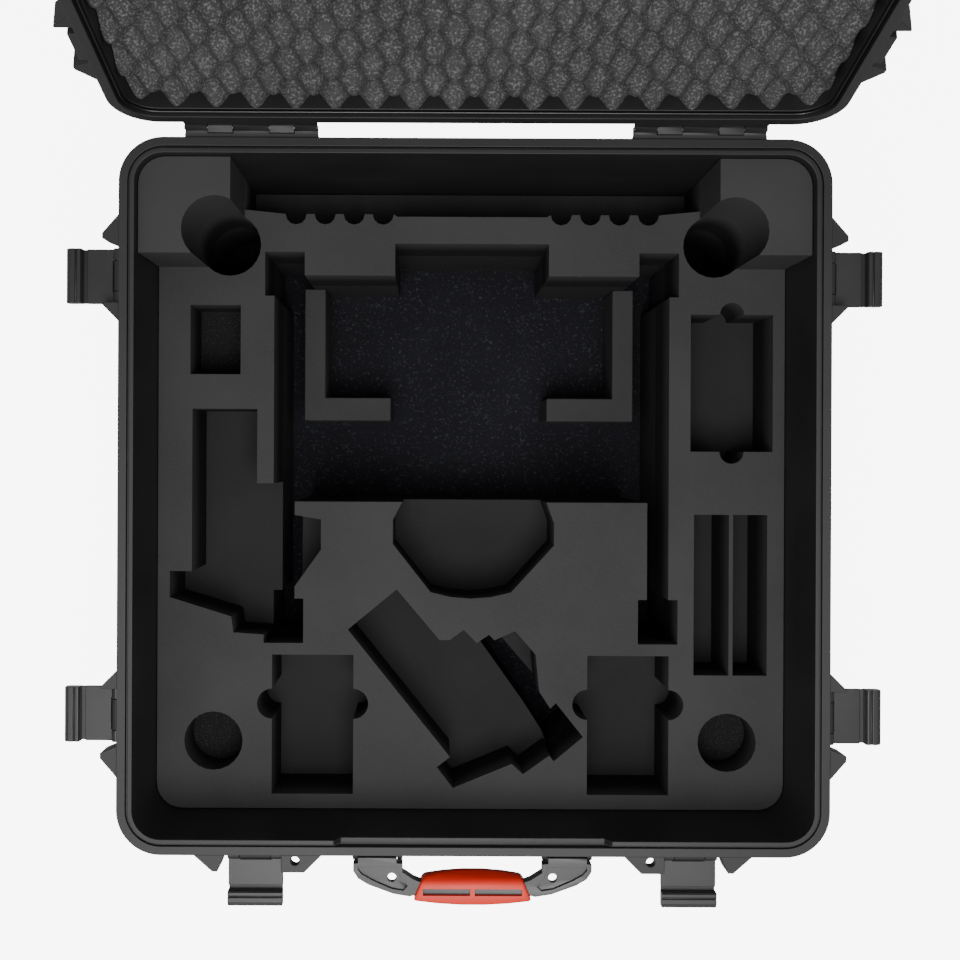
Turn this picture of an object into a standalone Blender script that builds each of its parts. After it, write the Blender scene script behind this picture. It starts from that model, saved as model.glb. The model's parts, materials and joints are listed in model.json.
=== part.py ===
"""Drone carrying case: a deep square moulded case with foam inserts, standing with its lid open.

Metres, +Z up. The origin is the middle of the base's flat underside, +X is to the right and +Y is
towards the hinges. The lid leans back on its stop, the six latches are swung out and the handle is up.
"""

import math

import bmesh
import bpy
from mathutils import Matrix, Vector

# Shell, outer sizes at the parting plane
RIM_X = 0.668
RIM_Y = 0.672
RIM_RADIUS = 0.042
RIM_WIDTH = 0.0155
RIM_BAND = 0.034
BAND_ROUND = 0.0015
WALL = 0.006
FLOOR = 0.006
BASE_HEIGHT = 0.318
LID_HEIGHT = 0.072
LID_BAND = 0.027
LID_TOP_WALL = 0.005
EDGE_ROUND = 0.012

# Sealing rim, measured inwards from the rim's outer edge
FLAT_WIDTH = 0.0086
GROOVE_WIDTH = 0.0023
GROOVE_DEPTH = 0.003
CHANNEL_LAP = 0.0007
TONGUE_RISE = 0.0025
SEAL_RADIUS = 0.0015
SEAL_SQUEEZE_GAP = 0.0004
LIP_GAP_HALF = 0.124
LIP_GAP_SLOPE = 0.006
LIP_GAP_DEPTH = 0.008

# Outside ribs
RIB_WIDTH = 0.022
RIB_RISE = 0.0055
RIB_FOOT = 0.014
SIDE_RIBS = (-0.255, -0.150, -0.050, 0.050, 0.150, 0.255)
FRONT_RIBS = (-0.255, -0.150, 0.150, 0.255)
LID_RIB_X = 0.170
LID_RIB_WIDTH = 0.040
LID_RIB_LENGTH = 0.480
LID_RIB_RISE = 0.004

# Latches and the lugs, fins and catches around them
LATCH_WIDTH = 0.052
LATCH_REACH = 0.049
LATCH_PLATE = 0.005
LATCH_DROP = 0.0035
HOOK_LENGTH = 0.0147
HOOK_RISE = 0.0035
FRONT_LATCH_X = 0.206
SIDE_LATCH_Y = 0.208
PIVOT_OUT = 0.0045
PIVOT_BELOW = 0.0205
LUG_RADIUS = 0.0043
LUG_WIDTH = 0.029
WINDOW_PAST_LUG = 0.0017
LATCH_PIN_RADIUS = 0.00175
FIN_OUT = 0.016
FIN_NEAR = 0.0268
FIN_LONG = 0.0298
FIN_SLOPE = 0.0065
FIN_TIP = 0.005
GUSSET_NEAR = 0.0266
GUSSET_TOP = 0.002
TAB_TIP = 0.0483
PADLOCK_AT = 0.0395
PADLOCK_RADIUS = 0.0042
PADLOCK_EDGE = 0.0009
CATCH_WIDTH = 0.040
CATCH_OUT = 0.007

# Hinges
HINGE_X = 0.210
HINGE_OUT = 0.0086
HINGE_WIDTH = 0.1245
KNUCKLES = (0.0215, 0.0235, 0.034, 0.0235, 0.0215)
KNUCKLE_RADIUS = 0.005
LEAF = 0.0030
LEAF_HEIGHT = 0.026
SHELF_BELOW = 0.0055
SHELF_THICK = 0.0025
SHELF_OUT = 0.003
HINGE_PIN_RADIUS = 0.002
LID_OPEN_DEG = 104.0

# Handle, raised level
HANDLE_HALF = 0.108
HANDLE_SHOULDER = 0.0045
HANDLE_SHOULDER_OUT = 0.0057
HANDLE_ROOT = 0.0365
HANDLE_REACH = 0.0435
HANDLE_BELOW = 0.004
HANDLE_ABOVE = 0.010
HANDLE_LUG = 0.005
HANDLE_PIN_RADIUS = 0.002
HANDLE_EYE_X = 0.076
HANDLE_EYE_OUT = 0.0196
HANDLE_EYE_RADIUS = 0.0042
GRIP_HALF_IN = 0.047
GRIP_HALF_OUT = 0.056
GRIP_NEAR = 0.0140
GRIP_BELOW = 0.009
GRIP_ABOVE = 0.015
GRIP_WALL = 0.004
GRIP_CURVE_IN = 0.0045
GRIP_CURVE_OUT = 0.004
GRIP_ROUND = 0.003
GRIP_CREST = 0.0217
GRIP_SLANT_FROM = 0.002
GRIP_SLOT_X = (0.0022, 0.0465)
GRIP_SLOT_OUT = (0.0277, 0.0340)
RECESS_DEPTH = 0.0035

# Pressure valve on the front wall
VALVE_Z = 0.225
VALVE_RADIUS = 0.013
VALVE_PLATE = 0.004
VALVE_KNOB_RADIUS = 0.008
VALVE_KNOB = 0.0045

# Foam inserts
FOAM_GAP = 0.0007
PAD_THICK = 0.015
LOWER_THICK = 0.105
MAIN_THICK = 0.085
BLOCK_BELOW_RIM = 0.010
BLOCK_X = 0.231
BLOCK_Y = 0.229
ROTOR_HOLE = (0.2458, 0.252)
ROTOR_RADIUS = 0.0315
FRONT_HOLE = (0.2605, -0.2515)
FRONT_HOLE_RADIUS = 0.0295
FRONT_HOLE_DEEP = 0.050
SQUARE_HOLE_DEEP = 0.063
CRADLE_TALL = 0.080
CRADLE_WALL = 0.0226
CRADLE_FOOT = 0.0252
CRADLE_X = 0.1800
CRADLE_FOOT_END = 0.0855
CRADLE_FRONT = 0.0767
CAVITY_HALF = 0.1790
CAVITY_FRONT = -0.0084
ARM_OUT = 0.2005
ARM_END_OUT = 0.2100
ARM_END_IN = 0.1700
ARM_BACK = 0.2450
ARM_WIDE_BACK = 0.2005
ARM_WIDE_FRONT = -0.1070
ARM_FRONT = -0.1520
RIDGE_FRONT = 0.2212
RIDGE_RECESS = 0.2537
RIDGE_RECESS_HALF = 0.0780
RIDGE_BACK = 0.2878
RIDGE_DIP = 0.2812
RIDGE_DIP_HALF = 0.0798
SCALLOP_DEEP = 0.0148
SCALLOP_PITCH = 0.0295
SCALLOP_FIRST = 0.0904
SCALLOPS = 4
BATTERY_X = 0.1600
BATTERY_HALF = 0.0412
BATTERY_Y = (-0.3050, -0.1640)
BATTERY_NOTCH_Y = -0.2137
BATTERY_NOTCH = 0.0152
BANK_POCKET = (0.2225, 0.3058, 0.0440, 0.1830)
BANK_NOTCH = 0.0122
SLIM_SLOTS = ((0.2265, 0.2619), (0.2662, 0.3007))
SLIM_Y = (-0.1832, -0.0202)
SQUARE_HOLE = (-0.2855, -0.2347, 0.1206, 0.1907)
LID_FOAM_BELOW_RIM = 0.005

GAP = 0.0003
PIN_PLAY = 0.0003
LATCH_PLAY = 0.0004
CORNER_STEPS = 6
ROUND_STEPS = 24
PIN_STEPS = 12

# Worked out from the sizes above
INNER_X = RIM_X / 2 - RIM_WIDTH
INNER_Y = RIM_Y / 2 - RIM_WIDTH
INNER_RADIUS = RIM_RADIUS - RIM_WIDTH
FOAM_X = INNER_X - FOAM_GAP
FOAM_Y = INNER_Y - FOAM_GAP
PAD_Z = FLOOR + GAP
LOWER_Z = FLOOR + PAD_THICK + GAP
MAIN_Z = FLOOR + PAD_THICK + LOWER_THICK + GAP
FOAM_TOP = FLOOR + PAD_THICK + LOWER_THICK + MAIN_THICK
BLOCK_Z = FOAM_TOP + GAP
PIVOT_Z = BASE_HEIGHT - PIVOT_BELOW
HOOK_START = LATCH_REACH - HOOK_LENGTH
CATCH_TOP = PIVOT_Z + HOOK_START - LATCH_PLAY
HINGE_Y = RIM_Y / 2 + HINGE_OUT

SIDES = {
    "front": (Vector((1, 0, 0)), Vector((0, -1, 0)), RIM_Y / 2),
    "back": (Vector((1, 0, 0)), Vector((0, 1, 0)), RIM_Y / 2),
    "left": (Vector((0, 1, 0)), Vector((-1, 0, 0)), RIM_X / 2),
    "right": (Vector((0, 1, 0)), Vector((1, 0, 0)), RIM_X / 2),
}
LATCHES = {
    "front_left": ("front", -FRONT_LATCH_X),
    "front_right": ("front", FRONT_LATCH_X),
    "left_front": ("left", -SIDE_LATCH_Y),
    "left_back": ("left", SIDE_LATCH_Y),
    "right_front": ("right", -SIDE_LATCH_Y),
    "right_back": ("right", SIDE_LATCH_Y),
}
TURN = {"front": math.pi, "left": math.pi / 2, "right": -math.pi / 2}


def start_scene():
    for item in list(bpy.data.objects):
        bpy.data.objects.remove(item, do_unlink=True)
    made = []
    for name in ("drone_carrying_case", "cutters"):
        group = bpy.data.collections.new(name)
        bpy.context.scene.collection.children.link(group)
        made.append(group)
    return made


CASE, CUTTERS = start_scene()


def material(name, colour, roughness, metallic=0.0):
    made = bpy.data.materials.new(name)
    made.use_nodes = True
    shader = made.node_tree.nodes["Principled BSDF"]
    shader.inputs["Base Color"].default_value = (*colour, 1.0)
    shader.inputs["Roughness"].default_value = roughness
    shader.inputs["Metallic"].default_value = metallic
    return made


SHELL = material("black polypropylene", (0.030, 0.030, 0.031), 0.5)
LATCH = material("black nylon", (0.028, 0.028, 0.029), 0.42)
STEEL = material("pin steel", (0.30, 0.30, 0.31), 0.32, 1.0)
RUBBER = material("seal rubber", (0.016, 0.016, 0.017), 0.6)
GRIP = material("red grip rubber", (0.78, 0.055, 0.025), 0.5)
FOAM = material("grey foam", (0.055, 0.055, 0.057), 0.95)
DARK_FOAM = material("black foam", (0.022, 0.022, 0.024), 0.95)
EGG_FOAM = material("egg crate foam", (0.070, 0.070, 0.072), 0.95)


def finish(item, look, tool=False):
    """Shade a made object, give it its material and put it in its collection."""
    item.data.materials.clear()
    item.data.materials.append(look)
    item.data.shade_smooth()
    item.data.set_sharp_from_angle(angle=math.radians(35))
    (CUTTERS if tool else CASE).objects.link(item)
    if tool:
        item.hide_render = True
        item.display_type = "WIRE"
    return item


def extruded(name, loops, low, high, look, axis="Z", tool=False, at=None):
    """A flat outline, with any holes, drawn in the plane across an axis and extruded along it."""
    turn = {
        "Z": Matrix.Identity(4),
        "X": Matrix(((0, 0, 1, 0), (1, 0, 0, 0), (0, 1, 0, 0), (0, 0, 0, 1))),
    }[axis]
    curve = bpy.data.curves.new(name, "CURVE")
    curve.dimensions = "2D"
    curve.fill_mode = "BOTH"
    curve.extrude = (high - low) / 2
    for loop in loops:
        spline = curve.splines.new("POLY")
        spline.points.add(len(loop) - 1)
        for point, (a, b) in zip(spline.points, loop):
            point.co = (a, b, 0, 1)
        spline.use_cyclic_u = True
    drawn = bpy.data.objects.new(name + "_outline", curve)
    bpy.context.scene.collection.objects.link(drawn)
    drawn.matrix_world = (at or Matrix.Identity(4)) @ turn @ Matrix.Translation((0, 0, (low + high) / 2))
    bpy.context.view_layer.update()
    evaluated = drawn.evaluated_get(bpy.context.evaluated_depsgraph_get())
    mesh = bpy.data.meshes.new_from_object(evaluated)
    mesh.name = name
    welded = bmesh.new()
    welded.from_mesh(mesh)
    bmesh.ops.remove_doubles(welded, verts=welded.verts, dist=0.00001)
    bmesh.ops.recalc_face_normals(welded, faces=welded.faces)
    welded.to_mesh(mesh)
    welded.free()
    item = bpy.data.objects.new(name, mesh)
    item.matrix_world = drawn.matrix_world
    bpy.data.objects.remove(drawn, do_unlink=True)
    return finish(item, look, tool)


def box(name, low, high, look, tool=False, at=None):
    low, high = Vector(low), Vector(high)
    mesh = bpy.data.meshes.new(name)
    made = bmesh.new()
    place = Matrix.Translation((low + high) / 2) @ Matrix.Diagonal((*(high - low), 1))
    bmesh.ops.create_cube(made, size=1, matrix=place)
    made.to_mesh(mesh)
    made.free()
    item = bpy.data.objects.new(name, mesh)
    if at:
        item.matrix_world = at
    return finish(item, look, tool)


def rod(name, radius, low, high, look, axis="Z", centre=(0, 0), steps=ROUND_STEPS, tool=False, at=None):
    """A round bar along an axis, from low to high; centre is its place in the plane across the axis."""
    a, b = centre
    middle, length = (low + high) / 2, high - low
    turn, place = {
        "X": (Matrix.Rotation(math.pi / 2, 4, "Y"), (middle, a, b)),
        "Y": (Matrix.Rotation(math.pi / 2, 4, "X"), (a, middle, b)),
        "Z": (Matrix.Identity(4), (a, b, middle)),
    }[axis]
    mesh = bpy.data.meshes.new(name)
    made = bmesh.new()
    bmesh.ops.create_cone(
        made, cap_ends=True, segments=steps, radius1=radius, radius2=radius, depth=length,
        matrix=Matrix.Translation(place) @ turn,
    )
    made.to_mesh(mesh)
    made.free()
    item = bpy.data.objects.new(name, mesh)
    if at:
        item.matrix_world = at
    return finish(item, look, tool)


def combine(target, tool, operation):
    step = target.modifiers.new(operation.lower(), "BOOLEAN")
    step.operation = operation
    step.solver = "EXACT"
    step.object = tool


def cut(target, *tools):
    for tool in tools:
        combine(target, tool, "DIFFERENCE")


def add(target, *tools):
    for tool in tools:
        combine(target, tool, "UNION")


def bevel(item, width, segments=2):
    step = item.modifiers.new("rounded edges", "BEVEL")
    step.width = width
    step.segments = segments
    step.limit_method = "ANGLE"
    step.angle_limit = math.radians(40)


def rounded_rect(half_x, half_y, radius, steps=CORNER_STEPS):
    points = []
    for quarter, (sx, sy) in enumerate(((1, 1), (-1, 1), (-1, -1), (1, -1))):
        for step in range(steps + 1):
            angle = math.radians(90 * (quarter + step / steps))
            x = sx * (half_x - radius) + radius * math.cos(angle)
            y = sy * (half_y - radius) + radius * math.sin(angle)
            points.append((x, y))
    return points


def rim_outline(inset):
    """The case's outline, this far inside the rim's outer edge."""
    return rounded_rect(RIM_X / 2 - inset, RIM_Y / 2 - inset, RIM_RADIUS - inset)


def arc(centre, radius, start_deg, end_deg, steps):
    points = []
    for step in range(steps + 1):
        angle = math.radians(start_deg + (end_deg - start_deg) * step / steps)
        points.append((centre[0] + radius * math.cos(angle), centre[1] + radius * math.sin(angle)))
    return points


def rect(x0, x1, y0, y1):
    return [(x0, y0), (x1, y0), (x1, y1), (x0, y1)]


def mirrored(loop):
    return [(-x, y) for x, y in reversed(loop)]


def side_point(side, along, out):
    """A place beside the rim: this far along the side from its middle, this far out from the rim."""
    u, v, half = SIDES[side]
    spot = u * along + v * (half + out)
    return (spot.x, spot.y)


def latch_outline(latch, points):
    """Points given as (distance from the latch's middle towards the corner, distance out)."""
    side, middle = LATCHES[latch]
    towards = math.copysign(1, middle)
    return [side_point(side, middle + towards * along, out) for along, out in points]


def side_frame(side, along, out, z):
    """A frame at a place beside the rim whose +Y points outwards."""
    x, y = side_point(side, along, out)
    return Matrix.Translation((x, y, z)) @ Matrix.Rotation(TURN[side], 4, "Z")


def pivot(name, frame):
    empty = bpy.data.objects.new(name, None)
    empty.empty_display_size = 0.03
    empty.matrix_world = frame
    CASE.objects.link(empty)
    return empty


def hang(item, parent):
    """Parent a piece built about the pivot's own origin."""
    item.parent = parent
    return item


# ---- The shell's fittings, shared by base and lid ----


def fin_outline():
    tip = FIN_NEAR + FIN_SLOPE
    return [
        (FIN_NEAR - 0.001, -0.003), (FIN_NEAR, 0.0), (tip, FIN_OUT), (tip + FIN_TIP, FIN_OUT),
        (FIN_NEAR + FIN_LONG, 0.0), (FIN_NEAR + FIN_LONG, -0.003),
    ]


def gusset_outline(tip):
    return [
        (-GUSSET_NEAR, -0.003), (-GUSSET_NEAR, FIN_OUT), (-tip, FIN_OUT),
        (-tip - FIN_OUT, 0.0), (-tip - FIN_OUT, -0.003),
    ]


def latch_guards(part, low, high, tab_low, tab_high, at=None):
    """The fin and the gusset beside each latch; the front ones are flat tabs with padlock holes."""
    guards, holes = [], []
    for latch, (side, _) in LATCHES.items():
        name = f"{part}_{latch}"
        fin = latch_outline(latch, fin_outline())
        guards.append(extruded(name + "_fin", [fin], low, high, SHELL, tool=True, at=at))
        if side == "front":
            tab = latch_outline(latch, gusset_outline(TAB_TIP))
            guards.append(extruded(name + "_tab", [tab], tab_low, tab_high, SHELL, tool=True, at=at))
            spot = latch_outline(latch, [(-PADLOCK_AT, PADLOCK_RADIUS + PADLOCK_EDGE)])[0]
            reach = (tab_low - 0.01, tab_high + 0.01)
            holes.append(
                rod(name + "_padlock", PADLOCK_RADIUS, *reach, SHELL, centre=spot, steps=16, tool=True, at=at)
            )
        else:
            gusset = latch_outline(latch, gusset_outline(GUSSET_NEAR + GUSSET_TOP))
            guards.append(extruded(name + "_gusset", [gusset], low, high, SHELL, tool=True, at=at))
    return guards, holes


def lug(name, frame, low, high):
    """A half-round lug on the rim, bored for a pin that lies along the frame's X."""
    profile = [(-PIVOT_OUT - 0.003, -LUG_RADIUS)]
    profile += arc((0, 0), LUG_RADIUS, -90, 90, 8)
    profile += [(-PIVOT_OUT - 0.003, LUG_RADIUS)]
    return extruded(name, [profile], low, high, SHELL, axis="X", tool=True, at=frame)


# ---- Base ----


def base_shell():
    shell = extruded("base_shell", [rim_outline(RIM_WIDTH - WALL)], 0, BASE_HEIGHT - 0.01, SHELL)
    bevel(shell, EDGE_ROUND, 3)
    band = extruded("base_band", [rim_outline(0)], BASE_HEIGHT - RIM_BAND, BASE_HEIGHT, SHELL, tool=True)
    bevel(band, BAND_ROUND, 1)
    lip = rim_outline(FLAT_WIDTH + GROOVE_WIDTH)
    tongue = extruded("base_tongue", [lip], BASE_HEIGHT - 0.005, BASE_HEIGHT + TONGUE_RISE, SHELL, tool=True)
    groove_loops = [rim_outline(FLAT_WIDTH), rim_outline(FLAT_WIDTH + GROOVE_WIDTH)]
    groove = extruded(
        "base_groove", groove_loops, BASE_HEIGHT - GROOVE_DEPTH, BASE_HEIGHT + 0.01, SHELL, tool=True
    )
    room = extruded("base_room", [rim_outline(RIM_WIDTH)], FLOOR, BASE_HEIGHT + 0.02, SHELL, tool=True)
    lip_back = -INNER_Y + 0.005
    lip_front = -RIM_Y / 2 + FLAT_WIDTH
    gap_shape = [
        (-LIP_GAP_HALF, lip_front), (LIP_GAP_HALF, lip_front),
        (LIP_GAP_HALF + LIP_GAP_SLOPE, lip_back), (-LIP_GAP_HALF - LIP_GAP_SLOPE, lip_back),
    ]
    gap = extruded(
        "base_lip_gap", [gap_shape], BASE_HEIGHT - LIP_GAP_DEPTH, BASE_HEIGHT + 0.02, SHELL, tool=True
    )
    guards, holes = latch_guards(
        "base", BASE_HEIGHT - RIM_BAND + 0.002, BASE_HEIGHT - 0.003, BASE_HEIGHT - 0.013, BASE_HEIGHT - 0.001
    )
    add(shell, band, tongue, *base_ribs(), *guards, *base_lugs())
    cut(shell, room, groove, gap, *holes, *base_pin_bores())


def base_ribs():
    ribs = []
    for side, places in (("front", FRONT_RIBS), ("back", SIDE_RIBS), ("left", SIDE_RIBS), ("right", SIDE_RIBS)):
        face = WALL - RIM_WIDTH
        for number, along in enumerate(places):
            outline = [
                side_point(side, along - RIB_WIDTH / 2 - RIB_RISE / 2, face - WALL / 2),
                side_point(side, along - RIB_WIDTH / 2, face + RIB_RISE),
                side_point(side, along + RIB_WIDTH / 2, face + RIB_RISE),
                side_point(side, along + RIB_WIDTH / 2 + RIB_RISE / 2, face - WALL / 2),
            ]
            top = BASE_HEIGHT - RIM_BAND + 0.004
            ribs.append(extruded(f"rib_{side}_{number}", [outline], RIB_FOOT, top, SHELL, tool=True))
    return ribs


def base_lugs():
    lugs = []
    for latch, (side, along) in LATCHES.items():
        frame = side_frame(side, along, PIVOT_OUT, PIVOT_Z)
        lugs.append(lug(f"lug_{latch}", frame, -LUG_WIDTH / 2, LUG_WIDTH / 2))
    frame = side_frame("front", 0, PIVOT_OUT, PIVOT_Z)
    for number, (low, high) in enumerate(handle_lug_spans()):
        lugs.append(lug(f"handle_lug_{number}", frame, low, high))
    return lugs


def handle_lug_spans():
    spans = []
    inner = HANDLE_HALF - HANDLE_ROOT
    for start in (HANDLE_HALF + LATCH_PLAY, inner - LATCH_PLAY - HANDLE_LUG):
        spans.append((start, start + HANDLE_LUG))
        spans.append((-start - HANDLE_LUG, -start))
    return spans


def base_pin_bores():
    bores = []
    for latch, (side, along) in LATCHES.items():
        frame = side_frame(side, along, PIVOT_OUT, PIVOT_Z)
        bores.append(
            rod(f"bore_{latch}", LATCH_PIN_RADIUS + PIN_PLAY, -LUG_WIDTH, LUG_WIDTH, SHELL, "X",
                steps=PIN_STEPS, tool=True, at=frame)
        )
    frame = side_frame("front", 0, PIVOT_OUT, PIVOT_Z)
    reach = HANDLE_HALF + 2 * HANDLE_LUG
    bores.append(
        rod("bore_handle", HANDLE_PIN_RADIUS + PIN_PLAY, -reach, reach, SHELL, "X", steps=PIN_STEPS,
            tool=True, at=frame)
    )
    return bores


def valve():
    wall_y = -(RIM_Y / 2 - RIM_WIDTH + WALL)
    back = wall_y - GAP
    plate = rod("pressure_valve_body", VALVE_RADIUS, back - VALVE_PLATE, back, SHELL, "Y", (0, VALVE_Z))
    bevel(plate, 0.001, 1)
    front = back - VALVE_PLATE - GAP
    rod("pressure_valve_knob", VALVE_KNOB_RADIUS, front - VALVE_KNOB, front, LATCH, "Y", (0, VALVE_Z), 6)


# ---- Latches ----


def latch_profile():
    """Side view of a latch lying open: along the plate from the pivot, and up."""
    bottom = -LATCH_DROP - LATCH_PLATE
    return [
        (-LUG_RADIUS + 0.001, bottom), (LATCH_REACH - 0.002, bottom), (LATCH_REACH, bottom + 0.002),
        (LATCH_REACH, HOOK_RISE - 0.003), (LATCH_REACH - 0.004, HOOK_RISE), (HOOK_START, HOOK_RISE),
        (HOOK_START, -LATCH_DROP), (LUG_RADIUS + 0.003, -LATCH_DROP), (LUG_RADIUS, 0.0),
        *arc((0, 0), LUG_RADIUS, 15, 165, 8), (-LUG_RADIUS, -0.002),
        (-LUG_RADIUS, bottom + 0.002),
    ]


def latches():
    half = LATCH_WIDTH / 2
    for latch, (side, along) in LATCHES.items():
        frame = side_frame(side, along, PIVOT_OUT, PIVOT_Z)
        turning = pivot(f"{latch}_latch_pivot", frame)
        plate = extruded(f"latch_{latch}", [latch_profile()], -half, half, LATCH, axis="X")
        hang(plate, turning)
        room = LUG_WIDTH / 2 + LATCH_PLAY
        notch = box(
            f"{latch}_notch", (-room, -0.02, -0.02), (room, LUG_RADIUS + WINDOW_PAST_LUG, 0.02), LATCH, tool=True
        )
        bore = rod(
            f"{latch}_bore", LATCH_PIN_RADIUS + PIN_PLAY, -half - 0.01, half + 0.01, LATCH, "X",
            steps=PIN_STEPS, tool=True,
        )
        for tool in (notch, bore):
            hang(tool, turning)
        cut(plate, notch, bore)
        rod(f"latch_pin_{latch}", LATCH_PIN_RADIUS, -half + 0.0005, half - 0.0005, STEEL, "X",
            steps=PIN_STEPS, at=frame)


# ---- Handle ----


def handle_frame_outline():
    """The raised handle from above: out from the pivot is +Y."""
    root = HANDLE_HALF - HANDLE_ROOT
    wide = HANDLE_HALF + HANDLE_SHOULDER
    grip_out = HANDLE_REACH - GRIP_CURVE_OUT - GRIP_WALL
    grip_in = GRIP_NEAR + GRIP_CURVE_IN + GRIP_WALL
    outer = [
        (HANDLE_HALF, 0.0), (HANDLE_HALF, HANDLE_SHOULDER_OUT - 0.0005), (wide, HANDLE_SHOULDER_OUT),
        (wide, 0.0125), (wide - 0.0045, 0.0195), (wide - 0.0145, 0.0255), (0.0745, 0.0340), (0.0590, 0.0365),
        (GRIP_HALF_OUT, grip_out),
    ]
    inner = [
        (GRIP_HALF_IN + 0.003, grip_in), (GRIP_HALF_IN + 0.008, grip_in - 0.002),
        (root - HANDLE_LUG - 0.0005, 0.0135), (root - HANDLE_LUG - 0.0005, HANDLE_SHOULDER_OUT),
        (root, HANDLE_SHOULDER_OUT - 0.0005), (root, 0.0),
    ]
    outline = outer + mirrored(outer)
    outline += [(-x, y) for x, y in reversed(inner)]
    return outline + inner


def handle():
    frame = side_frame("front", 0, PIVOT_OUT, PIVOT_Z)
    turning = pivot("handle_pivot", frame)
    body = extruded("handle_frame", [handle_frame_outline()], -HANDLE_BELOW, HANDLE_ABOVE, LATCH)
    root = HANDLE_HALF - HANDLE_ROOT
    tools = []
    for sign in (-1, 1):
        low, high = sorted((sign * root, sign * HANDLE_HALF))
        barrel = rod(f"handle_barrel_{sign}", HANDLE_BELOW, low, high, LATCH, "X", steps=16, tool=True)
        add(body, barrel)
        tools.append(barrel)
    for sign in (-1, 1):
        recess_shape = [
            (HANDLE_HALF, 0.0085), (HANDLE_HALF, 0.0115), (HANDLE_HALF - 0.004, 0.0160),
            (HANDLE_HALF - 0.0135, 0.0212), (GRIP_HALF_OUT + 0.020, 0.0292), (GRIP_HALF_OUT + 0.009, 0.0310),
            (GRIP_HALF_OUT + 0.005, 0.0265), (root - 0.004, 0.0190), (root - 0.0005, 0.0085),
        ]
        loop = [(sign * x, y) for x, y in recess_shape]
        top = extruded(
            f"handle_recess_top_{sign}", [loop], HANDLE_ABOVE - RECESS_DEPTH, HANDLE_ABOVE + 0.01, LATCH,
            tool=True,
        )
        low_side = extruded(
            f"handle_recess_under_{sign}", [loop], -HANDLE_BELOW - 0.01, -HANDLE_BELOW + RECESS_DEPTH,
            LATCH, tool=True,
        )
        eye = rod(
            f"handle_eye_{sign}", HANDLE_EYE_RADIUS, -0.02, 0.02, LATCH,
            centre=(sign * HANDLE_EYE_X, HANDLE_EYE_OUT), steps=16, tool=True,
        )
        cut(body, top, low_side, eye)
        tools += [top, low_side, eye]
    reach = HANDLE_HALF + 0.01
    bore = rod(
        "handle_bore", HANDLE_PIN_RADIUS + PIN_PLAY, -reach, reach, LATCH, "X", steps=PIN_STEPS, tool=True
    )
    cut(body, bore)
    for item in (body, bore, *tools, *grip()):
        hang(item, turning)
    spans = handle_lug_spans()
    low, high = root - LATCH_PLAY - HANDLE_LUG, spans[0][1]
    for name, (start, end) in (("right", (low, high)), ("left", (-high, -low))):
        # The frame faces the front, so its own X runs from the right to the left.
        rod(f"handle_pin_{name}", HANDLE_PIN_RADIUS, *sorted((-start, -end)), STEEL, "X", steps=PIN_STEPS,
            at=frame)


def grip():
    """A soft sleeve over the handle's middle bar, open at both ends, and the tools that shape it."""
    profile = [
        (GRIP_NEAR - 0.001, -GRIP_BELOW), (HANDLE_REACH + 0.001, -GRIP_BELOW),
        (HANDLE_REACH + 0.001, GRIP_ABOVE), (GRIP_CREST, GRIP_ABOVE), (GRIP_NEAR, GRIP_SLANT_FROM),
        (GRIP_NEAR - 0.001, GRIP_SLANT_FROM),
    ]
    sleeve = extruded("handle_grip", [profile], -GRIP_HALF_OUT - 0.002, GRIP_HALF_OUT + 0.002, GRIP, axis="X")
    along = (-1, -0.6, -0.2, 0.2, 0.6, 1)
    outline = [(x * GRIP_HALF_OUT, HANDLE_REACH - GRIP_CURVE_OUT * x * x) for x in along]
    outline += [(-x * GRIP_HALF_IN, GRIP_NEAR + GRIP_CURVE_IN * x * x) for x in along]
    plan = extruded("grip_plan", [outline], -GRIP_BELOW - 0.01, GRIP_ABOVE + 0.01, GRIP, tool=True)
    combine(sleeve, plan, "INTERSECT")
    bevel(sleeve, GRIP_ROUND)
    grip_in = GRIP_NEAR + GRIP_CURVE_IN + GRIP_WALL
    grip_out = HANDLE_REACH - GRIP_CURVE_OUT - GRIP_WALL
    channel = box(
        "grip_channel", (-HANDLE_HALF, grip_in - GAP, -HANDLE_BELOW - GAP),
        (HANDLE_HALF, grip_out + GAP, HANDLE_ABOVE + GAP), GRIP, tool=True,
    )
    tools = [channel]
    for sign in (-1, 1):
        start, end = sorted(sign * x for x in GRIP_SLOT_X)
        tools.append(
            box(f"grip_slot_{sign}", (start, GRIP_SLOT_OUT[0], HANDLE_ABOVE),
                (end, GRIP_SLOT_OUT[1], GRIP_ABOVE + 0.01), GRIP, tool=True)
        )
    cut(sleeve, *tools)
    return [sleeve, plan, *tools]


# ---- Hinges ----


def knuckle_spans():
    spans, at = [], -sum(KNUCKLES) / 2
    for width in KNUCKLES:
        spans.append((at + GAP, at + width - GAP))
        at += width
    return spans


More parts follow.
